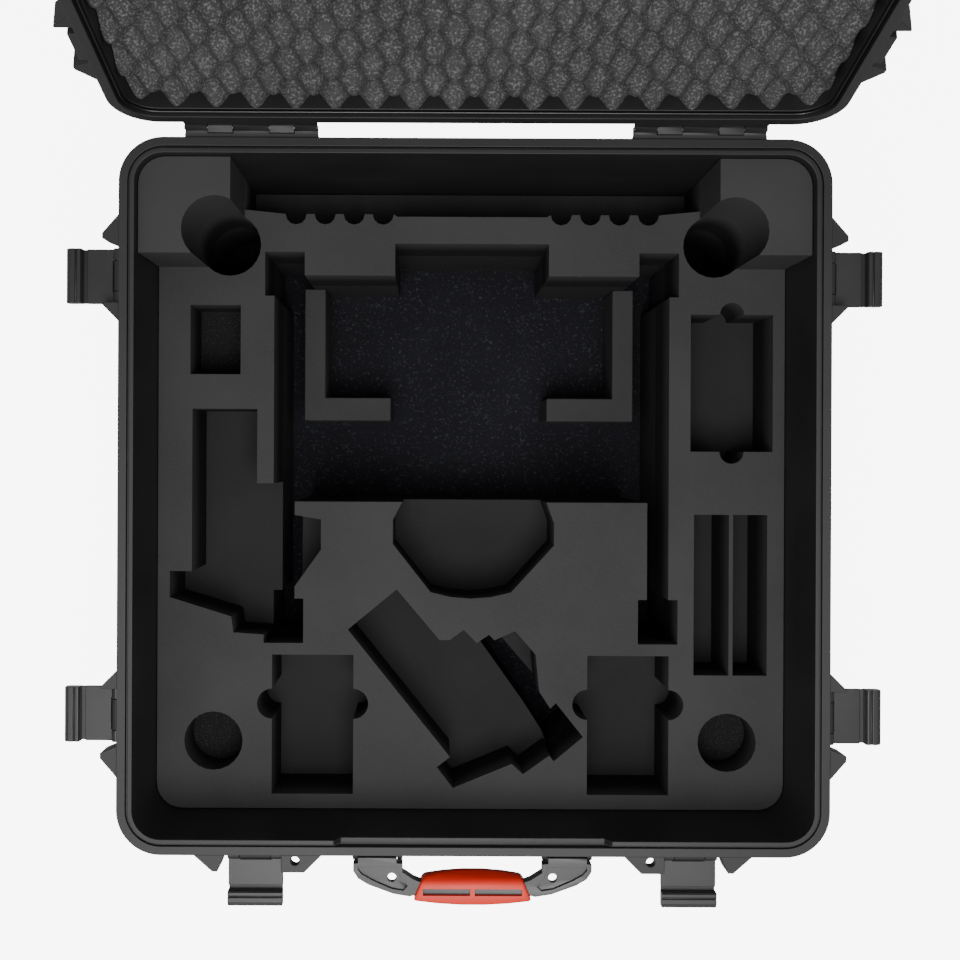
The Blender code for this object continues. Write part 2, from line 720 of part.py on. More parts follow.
def hinge_half(name, middle, spans, upper, at=None):
    """One half of a hinge about its own pin: a leaf on the rim and its knuckles."""
    sign = 1 if upper else -1
    back = -HINGE_OUT + GAP
    face = back + LEAF
    half = HINGE_WIDTH / 2
    ends = sorted((sign * 0.001, sign * LEAF_HEIGHT))
    leaf = box(name, (middle - half, back, ends[0]), (middle + half, face, ends[1]), SHELL, at=at)
    web = KNUCKLE_RADIUS + 0.003
    tools = []
    for number, (low, high) in enumerate(spans):
        turn = (90, -90) if upper else (-90, 90)
        profile = arc((0, 0), KNUCKLE_RADIUS, *turn, 10)
        profile += [(0, sign * -KNUCKLE_RADIUS)]
        profile += [(-0.003, sign * 0.0005), (face - 0.001, sign * 0.0012), (face - 0.001, sign * web)]
        tools.append(
            extruded(f"{name}_knuckle_{number}", [profile], middle + low, middle + high, SHELL, axis="X",
                     tool=True, at=at)
        )
    if not upper:
        tools.append(
            box(f"{name}_shelf", (middle - half, back, -SHELF_BELOW - SHELF_THICK),
                (middle + half, SHELF_OUT, -SHELF_BELOW), SHELL, tool=True, at=at)
        )
    add(leaf, *tools)
    reach = HINGE_WIDTH
    bore = rod(f"{name}_bore", HINGE_PIN_RADIUS + PIN_PLAY, middle - reach, middle + reach, SHELL, "X",
               steps=PIN_STEPS, tool=True, at=at)
    cut(leaf, bore)
    return leaf, [*tools, bore]


# ---- Foam inserts ----


def foam_layer(name, low, high, look, through, blind=()):
    layer = extruded(name, [rounded_rect(FOAM_X, FOAM_Y, INNER_RADIUS - FOAM_GAP)], low, high, look)
    for number, loop in enumerate(through):
        cut(layer, extruded(f"{name}_cut_{number}", [loop], low - 0.01, high + 0.01, look, tool=True))
    for number, (loop, depth) in enumerate(blind):
        tool = extruded(f"{name}_pocket_{number}", [loop], high - depth, high + 0.01, look, tool=True)
        cut(layer, tool)
    return layer


def circle(centre, radius):
    return arc(centre, radius, 0, 360 * (1 - 1 / ROUND_STEPS), ROUND_STEPS - 1)


def arm_loops():
    """The slots for the folded arms and the drone's body between them, left and right alike."""
    right = [
        (CAVITY_HALF, ARM_FRONT + 0.045), (ARM_END_IN, ARM_WIDE_FRONT), (ARM_END_IN, ARM_FRONT),
        (ARM_END_OUT, ARM_FRONT), (ARM_END_OUT, ARM_WIDE_FRONT), (ARM_OUT, ARM_WIDE_FRONT),
        (ARM_OUT, ARM_WIDE_BACK), (ARM_END_OUT, ARM_WIDE_BACK), (ARM_END_OUT, ARM_BACK),
        (ARM_END_IN, ARM_BACK), (ARM_END_IN, RIDGE_FRONT),
        (RIDGE_RECESS_HALF, RIDGE_FRONT), (RIDGE_RECESS_HALF, RIDGE_RECESS),
    ]
    right = [(CAVITY_HALF, CAVITY_FRONT)] + right
    return [right + mirrored(right)]


def rotor_holes():
    x, y = ROTOR_HOLE
    return [circle((sign * x, y), ROTOR_RADIUS) for sign in (-1, 1)]


def back_pocket():
    """The open space behind the ridge, with four scallops on each side and a shallow dip between."""
    right = [(BLOCK_X, FOAM_Y + 0.01), (BLOCK_X, RIDGE_BACK)]
    for number in reversed(range(SCALLOPS)):
        middle = SCALLOP_FIRST + number * SCALLOP_PITCH
        radius = SCALLOP_PITCH * 0.36
        centre = (middle, RIDGE_BACK - SCALLOP_DEEP + radius)
        right += arc(centre, radius, 0, -180, 6)
    right += [(RIDGE_DIP_HALF - 0.004, RIDGE_DIP)]
    return right + mirrored(right)


def controller_slot():
    """The slot for a tablet controller, in the left bank."""
    return [
        (-0.2175, 0.0854), (-0.2831, 0.0854), (-0.2831, -0.0796), (-0.3055, -0.0796), (-0.3055, -0.1060),
        (-0.2429, -0.1253), (-0.2408, -0.1415), (-ARM_END_OUT + 0.002, -0.1436), (-ARM_OUT + 0.004, -0.10),
        (-ARM_OUT + 0.004, 0.0099), (-0.2175, 0.0099),
    ]


def second_controller_slot():
    """The turned slot in the front bank."""
    return [
        (-0.1245, -0.1382), (-0.0751, -0.0974), (-0.0315, -0.1486), (-0.0211, -0.1486),
        (-0.0068, -0.1382), (0.0064, -0.1515), *strip_edge(), (0.0851, -0.2710), (0.0803, -0.2653),
        (0.0538, -0.2843), (0.0424, -0.2738), (-0.0173, -0.2985), (-0.0335, -0.2776), (-0.0202, -0.2672),
    ]


def strip_edge():
    return [
        (0.0188, -0.1430), (0.0244, -0.1486), (0.0453, -0.1392), (0.0661, -0.1629), (0.0700, -0.2008),
        (0.0813, -0.2178), (0.0870, -0.2121), (0.1145, -0.2463),
    ]


def deep_strip():
    return [
        (0.0064, -0.1515), (0.0188, -0.1430), (0.0300, -0.1500), (0.0690, -0.1950), (0.0813, -0.2178),
        (0.0870, -0.2121), (0.1145, -0.2463), (0.0851, -0.2710), (0.0790, -0.2560), (0.0586, -0.2245),
    ]


def centre_recess():
    back = CAVITY_FRONT + 0.001
    dip = [(x * 0.0407, -0.1062 + 0.0063 * x * x) for x in (-1, -0.5, 0, 0.5, 1)]
    return [(0.0762, back), (-0.0691, back), (-0.0793, -0.0267), (-0.0793, -0.0511), *dip,
            (0.0843, -0.0521), (0.0843, -0.0298)]


def side_notch():
    return [(-CAVITY_HALF - 0.003, -0.0216), (-0.1524, -0.0267), (-0.1524, -0.0572),
            (-CAVITY_HALF - 0.003, -0.0990)]


def notched_pocket(loop, notches):
    """A pocket and its finger notches, as one outline for each."""
    return [loop] + [circle(centre, radius) for centre, radius in notches]


def main_cuts():
    loops = arm_loops() + rotor_holes() + [back_pocket(), side_notch(), centre_recess()]
    loops += [controller_slot(), second_controller_slot()]
    for sign in (-1, 1):
        edges = [sign * BATTERY_X - BATTERY_HALF, sign * BATTERY_X + BATTERY_HALF]
        notches = [((x, BATTERY_NOTCH_Y), BATTERY_NOTCH) for x in edges]
        loops += notched_pocket(rect(*edges, *BATTERY_Y), notches)
    x0, x1, y0, y1 = BANK_POCKET
    middle = (x0 + x1) / 2
    loops += notched_pocket(rect(x0, x1, y0, y1), [((middle, y), BANK_NOTCH) for y in (y0, y1)])
    loops += [rect(x0, x1, *SLIM_Y) for x0, x1 in SLIM_SLOTS]
    return loops


def foam_inserts():
    extruded("foam_bottom_pad", [rounded_rect(FOAM_X, FOAM_Y, INNER_RADIUS - FOAM_GAP)], PAD_Z,
             FLOOR + PAD_THICK, DARK_FOAM)
    foam_layer("foam_lower_layer", LOWER_Z, FLOOR + PAD_THICK + LOWER_THICK, FOAM,
               arm_loops() + rotor_holes() + [deep_strip()])
    front_holes = [(circle((sign * FRONT_HOLE[0], FRONT_HOLE[1]), FRONT_HOLE_RADIUS), FRONT_HOLE_DEEP)
                   for sign in (-1, 1)]
    foam_layer("foam_main_layer", MAIN_Z, FOAM_TOP, FOAM, main_cuts(),
               [(rect(*SQUARE_HOLE), SQUARE_HOLE_DEEP), *front_holes])
    corner_blocks()
    cradles()


def corner_blocks():
    radius = INNER_RADIUS - FOAM_GAP
    corner = arc((FOAM_X - radius, FOAM_Y - radius), radius, 0, 90, CORNER_STEPS)
    outline = [(BLOCK_X, FOAM_Y), (BLOCK_X, BLOCK_Y), (FOAM_X, BLOCK_Y), *corner]
    for name, sign in (("left", -1), ("right", 1)):
        loop = outline if sign > 0 else mirrored(outline)
        block = extruded(f"foam_corner_block_{name}", [loop], BLOCK_Z, BASE_HEIGHT - BLOCK_BELOW_RIM, FOAM)
        hole = circle((sign * ROTOR_HOLE[0], ROTOR_HOLE[1]), ROTOR_RADIUS)
        cut(block, extruded(f"block_{name}_hole", [hole], FOAM_TOP - 0.01, BASE_HEIGHT, FOAM, tool=True))


def cradles():
    """Two L-shaped walls that stand on the pad and carry the drone's body."""
    outline = [
        (CRADLE_X, RIDGE_FRONT - GAP), (CRADLE_X - CRADLE_WALL, RIDGE_FRONT - GAP),
        (CRADLE_X - CRADLE_WALL, CRADLE_FRONT + CRADLE_FOOT), (CRADLE_FOOT_END, CRADLE_FRONT + CRADLE_FOOT),
        (CRADLE_FOOT_END, CRADLE_FRONT), (CRADLE_X, CRADLE_FRONT),
    ]
    top = FLOOR + PAD_THICK + CRADLE_TALL
    extruded("foam_cradle_right", [outline], LOWER_Z, top, FOAM)
    extruded("foam_cradle_left", [mirrored(outline)], LOWER_Z, top, FOAM)


# ---- Lid, built closed about the hinge line and then swung open ----


def lid():
    opened = Matrix.Translation((0, HINGE_Y, BASE_HEIGHT)) @ Matrix.Rotation(math.radians(-LID_OPEN_DEG), 4, "X")
    turning = pivot("lid_pivot", opened)
    closed = Matrix.Translation((0, -HINGE_Y, -BASE_HEIGHT))
    bottom, top = BASE_HEIGHT + GAP, BASE_HEIGHT + LID_HEIGHT
    shell = extruded("lid_shell", [rim_outline(RIM_WIDTH - WALL)], bottom + 0.005, top, SHELL, at=closed)
    bevel(shell, EDGE_ROUND, 3)
    band = extruded("lid_band", [rim_outline(0)], bottom, bottom + LID_BAND, SHELL, tool=True, at=closed)
    bevel(band, BAND_ROUND, 1)
    ceiling = top - LID_TOP_WALL
    room = extruded("lid_room", [rim_outline(RIM_WIDTH)], bottom - 0.01, ceiling, SHELL, tool=True, at=closed)
    seal_top = BASE_HEIGHT + TONGUE_RISE + SEAL_SQUEEZE_GAP + 2 * SEAL_RADIUS + GAP
    channel_out = FLAT_WIDTH + GROOVE_WIDTH - CHANNEL_LAP
    channel = extruded(
        "lid_channel", [rim_outline(channel_out)], bottom - 0.01, seal_top, SHELL, tool=True, at=closed
    )
    guards, holes = latch_guards(
        "lid", bottom + 0.002, bottom + LID_BAND - 0.002, bottom + 0.0005, bottom + 0.012, at=closed
    )
    ribs, catches = lid_ribs(top, closed), lid_catches(closed)
    add(shell, band, *ribs, *catches, *guards)
    cut(shell, room, channel, *holes)
    pieces = [shell, band, room, channel, *ribs, *catches, *guards, *holes]
    pieces.append(lid_seal(closed))
    pieces.append(
        extruded("lid_foam", [rounded_rect(FOAM_X, FOAM_Y, INNER_RADIUS - FOAM_GAP)],
                 BASE_HEIGHT + LID_FOAM_BELOW_RIM, ceiling - GAP, EGG_FOAM, at=closed)
    )
    spans = knuckle_spans()
    for name, sign in (("left", -1), ("right", 1)):
        leaf, tools = hinge_half(f"lid_hinge_{name}", sign * HINGE_X, spans[1::2], True)
        pieces += [leaf, *tools]
    for item in pieces:
        hang(item, turning)


def lid_ribs(top, closed):
    ribs = []
    for sign in (-1, 1):
        middle = sign * LID_RIB_X
        low = (middle - LID_RIB_WIDTH / 2, -LID_RIB_LENGTH / 2, top - 0.003)
        high = (middle + LID_RIB_WIDTH / 2, LID_RIB_LENGTH / 2, top + LID_RIB_RISE)
        rib = box(f"lid_rib_{sign}", low, high, SHELL, tool=True, at=closed)
        bevel(rib, 0.002, 1)
        ribs.append(rib)
    return ribs


def lid_catches(closed):
    catches = []
    for latch in LATCHES:
        half = CATCH_WIDTH / 2
        loop = latch_outline(latch, [(-half, -0.003), (-half, CATCH_OUT), (half, CATCH_OUT), (half, -0.003)])
        catches.append(
            extruded(f"catch_{latch}", [loop], BASE_HEIGHT + 2 * GAP, CATCH_TOP, SHELL, tool=True, at=closed)
        )
    return catches


def lid_seal(closed):
    """The O-ring in the lid's channel."""
    inset = FLAT_WIDTH + GROOVE_WIDTH + 0.5 * (RIM_WIDTH - FLAT_WIDTH - GROOVE_WIDTH)
    centre_z = BASE_HEIGHT + TONGUE_RISE + SEAL_SQUEEZE_GAP + SEAL_RADIUS
    curve = bpy.data.curves.new("lid_seal", "CURVE")
    curve.dimensions = "3D"
    curve.bevel_depth = SEAL_RADIUS
    curve.bevel_resolution = 2
    line = curve.splines.new("POLY")
    points = rim_outline(inset)
    line.points.add(len(points) - 1)
    for point, (x, y) in zip(line.points, points):
        point.co = (x, y, centre_z, 1)
    line.use_cyclic_u = True
    drawn = bpy.data.objects.new("lid_seal_line", curve)
    bpy.context.scene.collection.objects.link(drawn)
    bpy.context.view_layer.update()
    mesh = bpy.data.meshes.new_from_object(drawn.evaluated_get(bpy.context.evaluated_depsgraph_get()))
    item = bpy.data.objects.new("lid_seal", mesh)
    item.matrix_world = closed
    bpy.data.objects.remove(drawn, do_unlink=True)
    return finish(item, RUBBER)


def hinges():
    """The base's hinge halves and the pins."""
    at = Matrix.Translation((0, HINGE_Y, BASE_HEIGHT))
    spans = knuckle_spans()
    for name, sign in (("left", -1), ("right", 1)):
        middle = sign * HINGE_X
        hinge_half(f"base_hinge_{name}", middle, spans[0::2], False, at)
        half = sum(KNUCKLES) / 2 + 0.0005
        rod(f"hinge_pin_{name}", HINGE_PIN_RADIUS, middle - half, middle + half, STEEL, "X",
            steps=PIN_STEPS, at=at)


base_shell()
valve()
latches()
handle()
hinges()
foam_inserts()
lid()
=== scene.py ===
"""Looks of the drone carrying case: moulded shells, latches, handle and die-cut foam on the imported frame."""

import json
import math

import bmesh
import bpy
from mathutils import Matrix, Vector


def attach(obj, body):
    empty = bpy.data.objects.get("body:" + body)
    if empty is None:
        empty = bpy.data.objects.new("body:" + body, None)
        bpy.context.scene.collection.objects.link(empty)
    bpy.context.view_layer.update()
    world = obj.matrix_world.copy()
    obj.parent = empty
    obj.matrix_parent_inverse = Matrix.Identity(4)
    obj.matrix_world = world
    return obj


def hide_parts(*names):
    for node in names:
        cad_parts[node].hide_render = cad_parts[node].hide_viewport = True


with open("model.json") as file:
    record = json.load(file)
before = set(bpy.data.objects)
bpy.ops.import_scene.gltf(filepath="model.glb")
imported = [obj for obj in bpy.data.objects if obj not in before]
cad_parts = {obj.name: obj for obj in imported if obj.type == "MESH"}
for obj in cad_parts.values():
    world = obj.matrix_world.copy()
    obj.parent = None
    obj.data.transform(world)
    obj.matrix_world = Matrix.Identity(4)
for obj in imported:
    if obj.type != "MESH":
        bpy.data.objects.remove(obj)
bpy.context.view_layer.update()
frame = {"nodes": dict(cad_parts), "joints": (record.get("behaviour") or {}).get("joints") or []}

MM = 0.001

# Shell sizes, the same as the frame's
RIM_X, RIM_Y, RIM_RADIUS = 668 * MM, 672 * MM, 42 * MM
RIM_WIDTH, WALL, FLOOR = 15.5 * MM, 6 * MM, 6 * MM
RIM_BAND, LID_BAND = 34 * MM, 27 * MM
BASE_HEIGHT, LID_HEIGHT, LID_TOP_WALL = 318 * MM, 72 * MM, 5 * MM
FLAT_WIDTH, GROOVE_WIDTH, GROOVE_DEPTH, TONGUE_RISE = 8.6 * MM, 2.3 * MM, 3 * MM, 2.5 * MM
LIP_GAP_HALF, LIP_GAP_SLOPE, LIP_GAP_DEPTH = 124 * MM, 6 * MM, 8 * MM
EDGE_ROUND = 12 * MM
GAP = 0.3 * MM
CHANNEL_LAP, CHANNEL_DEEP = 0.7 * MM, 6.2 * MM
CORNER_STEPS = 14

# Ribs, fins, tabs and catches
RIB_WIDTH, RIB_RISE, RIB_FOOT = 22 * MM, 5.5 * MM, 14 * MM
SIDE_RIBS = [at * MM for at in (-255, -150, -50, 50, 150, 255)]
FRONT_RIBS = [at * MM for at in (-255, -150, 150, 255)]
LID_RIB_X, LID_RIB_WIDTH, LID_RIB_LENGTH, LID_RIB_RISE = 170 * MM, 40 * MM, 480 * MM, 4 * MM
FIN_OUT, FIN_NEAR, FIN_LONG, FIN_SLOPE, FIN_TIP = 16 * MM, 26.8 * MM, 29.8 * MM, 6.5 * MM, 5 * MM
GUSSET_NEAR, GUSSET_TOP, TAB_TIP = 26.6 * MM, 2 * MM, 48.3 * MM
PADLOCK_AT, PADLOCK_RADIUS, PADLOCK_EDGE = 39.5 * MM, 4.2 * MM, 0.9 * MM
CATCH_WIDTH, CATCH_OUT = 40 * MM, 7 * MM

# Latches and handle
LATCH_WIDTH, LATCH_REACH, LATCH_PLATE, LATCH_DROP = 52 * MM, 49 * MM, 5 * MM, 3.5 * MM
HOOK_LENGTH, HOOK_RISE, LATCH_PLAY = 14.7 * MM, 3.5 * MM, 0.4 * MM
PIVOT_OUT, LUG_RADIUS, LUG_WIDTH, WINDOW_PAST_LUG = 4.5 * MM, 4.3 * MM, 29 * MM, 1.7 * MM
THUMB_RIDGES, RIDGE_FIRST, RIDGE_PITCH, RIDGE_END = 3, 6, 3.6, 4 * MM
HANDLE_HALF, HANDLE_ROOT, HANDLE_LUG = 108 * MM, 36.5 * MM, 5 * MM

# Foam
FOAM_GAP = 0.7 * MM
EGG_PEAK_BELOW_RIM, EGG_DEEP, EGG_BOW = 5 * MM, 17 * MM, 4 * MM
EGG_PITCH_X, EGG_PITCH_Y, EGG_FIRST_X = 36.4 * MM, 53 * MM, 15.5 * MM
EGG_STEPS = 214

# Light
SKY, FLOOR_GLOW = 0.5, 7.0
FLOOR_HALF, BACKDROP_TALL = 25, 20

SIDES = {
    "front": (Vector((1, 0, 0)), Vector((0, -1, 0)), RIM_Y / 2),
    "back": (Vector((1, 0, 0)), Vector((0, 1, 0)), RIM_Y / 2),
    "left": (Vector((0, 1, 0)), Vector((-1, 0, 0)), RIM_X / 2),
    "right": (Vector((0, 1, 0)), Vector((1, 0, 0)), RIM_X / 2),
}
LATCHES = {
    "front_left": ("front", -206 * MM), "front_right": ("front", 206 * MM),
    "left_front": ("left", -208 * MM), "left_back": ("left", 208 * MM),
    "right_front": ("right", -208 * MM), "right_back": ("right", 208 * MM),
}

JOINTS = {joint["name"]: joint for joint in frame["joints"]}
HINGE_AT = Vector(JOINTS["lid_hinge"]["pos_m"])
LID_SWING = math.radians(JOINTS["lid_hinge"]["range_deg"][1])
PIVOT_Z = JOINTS["handle_pivot"]["pos_m"][2]
CATCH_TOP = PIVOT_Z + LATCH_REACH - HOOK_LENGTH - LATCH_PLAY

# Turns what is built on the closed lid back to where the open lid stands.
OPEN_LID = Matrix.Translation(HINGE_AT) @ Matrix.Rotation(-LID_SWING, 4, "X") @ Matrix.Translation(-HINGE_AT)


# ---- Materials ----


def linear(colour):
    """An sRGB hex colour as linear light."""
    parts = [int(colour[i:i + 2], 16) / 255 for i in (1, 3, 5)]
    return [c / 12.92 if c <= 0.04045 else ((c + 0.055) / 1.055) ** 2.4 for c in parts] + [1.0]


def add_node(tree, kind, settings=None, links=None):
    """A node with its settings by input or attribute name, and its inputs linked to other nodes' outputs."""
    made = tree.nodes.new(kind)
    for key, value in (settings or {}).items():
        if key in made.inputs:
            made.inputs[key].default_value = value
        else:
            setattr(made, key, value)
    for key, source in (links or {}).items():
        tree.links.new(source, made.inputs[key])
    return made


def new_material(name, colour, roughness, metallic=0.0, specular=0.5, ior=1.5):
    made = bpy.data.materials.new(name)
    made.use_nodes = True
    tree = made.node_tree
    shader = tree.nodes["Principled BSDF"]
    shader.inputs["Base Color"].default_value = linear(colour)
    shader.inputs["Roughness"].default_value = roughness
    shader.inputs["Metallic"].default_value = metallic
    shader.inputs["Specular IOR Level"].default_value = specular
    if not metallic:
        shader.inputs["IOR"].default_value = ior
    place = add_node(tree, "ShaderNodeTexCoord")
    return made, tree, shader, place.outputs["Object"]


def ramp(tree, source, low, high, stops=(0.0, 1.0)):
    made = add_node(tree, "ShaderNodeValToRGB", links={"Fac": source})
    made.color_ramp.elements[0].position, made.color_ramp.elements[1].position = stops
    made.color_ramp.elements[0].color = linear(low)
    made.color_ramp.elements[1].color = linear(high)
    return made.outputs["Color"]


def moulded_plastic(name, dark, light, roughness, grain, depth):
    """A moulded plastic with a fine spark-eroded grain, faint handling marks and slightly uneven sheen."""
    made, tree, shader, place = new_material(name, dark, roughness, ior=1.49)
    grit = add_node(tree, "ShaderNodeTexNoise", {"Scale": 1 / grain, "Detail": 2.0}, {"Vector": place})
    cloud = add_node(tree, "ShaderNodeTexNoise", {"Scale": 1 / (90 * MM), "Detail": 4.0}, {"Vector": place})
    tree.links.new(ramp(tree, cloud.outputs["Fac"], dark, light, (0.35, 0.7)), shader.inputs["Base Color"])
    sheen = add_node(
        tree, "ShaderNodeMapRange", {"To Min": roughness - 0.07, "To Max": roughness + 0.07},
        {"Value": cloud.outputs["Fac"]},
    )
    tree.links.new(sheen.outputs["Result"], shader.inputs["Roughness"])
    bump = add_node(
        tree, "ShaderNodeBump", {"Strength": 0.35, "Distance": depth}, {"Height": grit.outputs["Fac"]}
    )
    tree.links.new(bump.outputs["Normal"], shader.inputs["Normal"])
    return made


def foam(name, dark, light, fleck, cell, fleck_size, depth, flecks=(0.56, 0.72), cut=None):
    """A foam: fine cells give the grain, and cut cells catch the light as pale flecks.

    cut = (colour, low, high): painted shade: below these heights the colour darkens towards this colour,
    standing in for the shade deep in the pockets.
    """
    made, tree, shader, place = new_material(name, dark, 0.92, specular=0.18, ior=1.4)
    cloud = add_node(tree, "ShaderNodeTexNoise", {"Scale": 1 / (120 * MM), "Detail": 3.0}, {"Vector": place})
    base = ramp(tree, cloud.outputs["Fac"], dark, light, (0.3, 0.7))
    # Painted shade: lower down the colour is mixed towards a darker one, where the pockets lie in shade.
    if cut:
        level = add_node(tree, "ShaderNodeSeparateXYZ", links={"Vector": place})
        span = {"From Min": cut[1], "From Max": cut[2]}
        shade_fade = add_node(tree, "ShaderNodeMapRange", span, {"Value": level.outputs["Z"]})
        shade_mix = add_node(tree, "ShaderNodeMix", {"data_type": "RGBA"})
        tree.links.new(shade_fade.outputs["Result"], shade_mix.inputs[0])
        shade_mix.inputs[6].default_value = linear(cut[0])
        tree.links.new(base, shade_mix.inputs[7])
        base = shade_mix.outputs[2]
    spots = add_node(
        tree, "ShaderNodeTexNoise", {"Scale": 1 / fleck_size, "Detail": 3.0, "Roughness": 0.65},
        {"Vector": place},
    )
    share = add_node(
        tree, "ShaderNodeMapRange", {"From Min": flecks[0], "From Max": flecks[1]},
        {"Value": spots.outputs["Fac"]},
    )
    mixed = add_node(tree, "ShaderNodeMix", {"data_type": "RGBA"})
    tree.links.new(share.outputs["Result"], mixed.inputs[0])
    tree.links.new(base, mixed.inputs[6])
    mixed.inputs[7].default_value = linear(fleck)
    tree.links.new(mixed.outputs[2], shader.inputs["Base Color"])
    cells = add_node(tree, "ShaderNodeTexVoronoi", {"Scale": 1 / cell}, {"Vector": place})
    bump = add_node(
        tree, "ShaderNodeBump", {"Strength": 0.6, "Distance": depth}, {"Height": cells.outputs["Distance"]}
    )
    tree.links.new(bump.outputs["Normal"], shader.inputs["Normal"])
    return made


def drawn_steel(name):
    """A drawn steel pin, darkened: fine lines along its length."""
    made, tree, shader, place = new_material(name, "#6a6a6e", 0.34, metallic=1.0)
    lines = add_node(tree, "ShaderNodeTexNoise", {"Scale": 1 / (0.8 * MM), "Detail": 2.0}, {"Vector": place})
    shade = add_node(
        tree, "ShaderNodeMapRange", {"To Min": 0.26, "To Max": 0.44}, {"Value": lines.outputs["Fac"]}
    )
    tree.links.new(shade.outputs["Result"], shader.inputs["Roughness"])
    return made


# Moulded polypropylene: near black, its fine erosion grain gives a dull even sheen. The grain is drawn
# three times coarser than the real 0.3 mm so that it shows.
SHELL = moulded_plastic("moulded polypropylene", "#19191a", "#202021", 0.53, 1.0 * MM, 0.08 * MM)
# Glass-filled nylon: harder and a little shinier than the shell, with a finer grain.
LATCH = moulded_plastic("moulded glass-filled nylon", "#222223", "#2a2a2b", 0.38, 0.8 * MM, 0.05 * MM)
# Thermoplastic rubber over the handle's bar: saturated red with a soft broad highlight.
GRIP = moulded_plastic("overmoulded thermoplastic rubber", "#da2814", "#e62f1a", 0.5, 0.7 * MM, 0.04 * MM)
# EPDM seal cord: smooth black with a wet-looking line of light.
SEAL = moulded_plastic("extruded EPDM rubber", "#0c0c0d", "#121213", 0.30, 1.2 * MM, 0.02 * MM)
# Cross-linked polyethylene foam, die cut: dense and matt with barely visible cells. Painted shade darkens it
# lower down, as the shade deep in its pockets.
INSERT = foam(
    "die-cut polyethylene foam", "#393939", "#404040", "#454545", 0.9 * MM, 1.3 * MM, 0.10 * MM,
    # painted shade: darker below 165 to 200 mm, deep in the pockets
    cut=("#1c1c1d", 165 * MM, 200 * MM),
)
# The small loose pieces are offcuts of the same sheet, drawn without the painted shade lower down.
OFFCUT = foam("moulded polyethylene foam", "#393939", "#404040", "#454545", 0.9 * MM, 1.3 * MM, 0.10 * MM)
# The layer under it is the same foam drawn darker.
LOWER = foam("dark polyethylene foam", "#2a2a2b", "#303031", "#383838", 0.9 * MM, 1.3 * MM, 0.10 * MM)
# The sheet under the drone is a coarser, blacker foam whose cut cells show as scattered grey flecks.
PAD = foam(
    "flocked polyethylene pad", "#18181c", "#1f1f24", "#424249", 2.2 * MM, 2.8 * MM, 0.5 * MM, (0.57, 0.74)
)
# Open-cell polyurethane foam cut by rollers: its open cells sparkle grey.
EGG = foam(
    "convoluted polyurethane foam", "#3a3a3b", "#444445", "#6c6c6d", 1.8 * MM, 2.2 * MM, 0.5 * MM, (0.5, 0.66)
)
# Darkened steel pins: a metal's tight highlight, streaked by drawing.
PIN = drawn_steel("drawn steel")


# ---- Making pieces ----


def show(mesh, name, look, body, sharp=35):
    mesh.materials.clear()
    mesh.materials.append(look)
    mesh.shade_smooth()
    mesh.set_sharp_from_angle(angle=math.radians(sharp))
    piece = bpy.data.objects.new(name, mesh)
    bpy.context.scene.collection.objects.link(piece)
    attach(piece, body)
    return piece


def made(bm, name, look, slot, body, place=None, sharp=35):
    """A finished piece from a bmesh, put in its place."""
    if place:
        bmesh.ops.transform(bm, matrix=place, verts=bm.verts)
    bmesh.ops.recalc_face_normals(bm, faces=bm.faces)
    mesh = bpy.data.meshes.new(name)
    bm.to_mesh(mesh)
    bm.free()
    return show(mesh, name, look, body, sharp)


def soften(piece, width, segments=2, angle=40):
    step = piece.modifiers.new("rounded edges", "BEVEL")
    step.width = width
    step.segments = segments
    step.limit_method = "ANGLE"
    step.angle_limit = math.radians(angle)
    step.harden_normals = True
    return piece


def from_node(node, name, look, body, width=0.0, segments=2, sharp=35):
    """A finished copy of a frame node: welded, its flat faces joined, its edges rounded."""
    mesh = frame["nodes"][node].data.copy()
    bm = bmesh.new()
    bm.from_mesh(mesh)
    bmesh.ops.remove_doubles(bm, verts=bm.verts, dist=0.02 * MM)
    bmesh.ops.dissolve_limit(bm, angle_limit=math.radians(1), verts=bm.verts, edges=bm.edges)
    bm.to_mesh(mesh)
    bm.free()
    piece = show(mesh, name, look, body, sharp)
    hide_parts(node)
    if width:
        soften(piece, width, segments)
    return piece


def beside(side, along=0.0, facing=1, out=0.0, z=0.0):
    """Axes beside the rim: X along it (facing -1 turns it round), Y outwards, Z up."""
    u, v, half = SIDES[side]
    spot = u * along + v * (half + out)
    x = u * facing
    return Matrix(((x.x, v.x, 0, spot.x), (x.y, v.y, 0, spot.y), (0, 0, 1, z), (0, 0, 0, 1)))


def arc(centre, radius, start, end, steps):
    turns = [math.radians(start + (end - start) * i / steps) for i in range(steps + 1)]
    return [(centre[0] + radius * math.cos(a), centre[1] + radius * math.sin(a)) for a in turns]


def bar(bm, section, low, high, place, across="Z"):
    """Adds a straight bar: a section of (X, Y) from low to high in Z, or of (Y, Z) from low to high in X."""
    along = Vector((high - low, 0, 0)) if across == "X" else Vector((0, 0, high - low))
    spots = [Vector((low, a, b)) if across == "X" else Vector((a, b, low)) for a, b in section]
    face = bm.faces.new([bm.verts.new(place @ spot) for spot in spots])
    grown = bmesh.ops.extrude_face_region(bm, geom=[face])["geom"]
    ends = [v for v in grown if isinstance(v, bmesh.types.BMVert)]
    bmesh.ops.translate(bm, verts=ends, vec=place.to_3x3() @ along)
    return ends


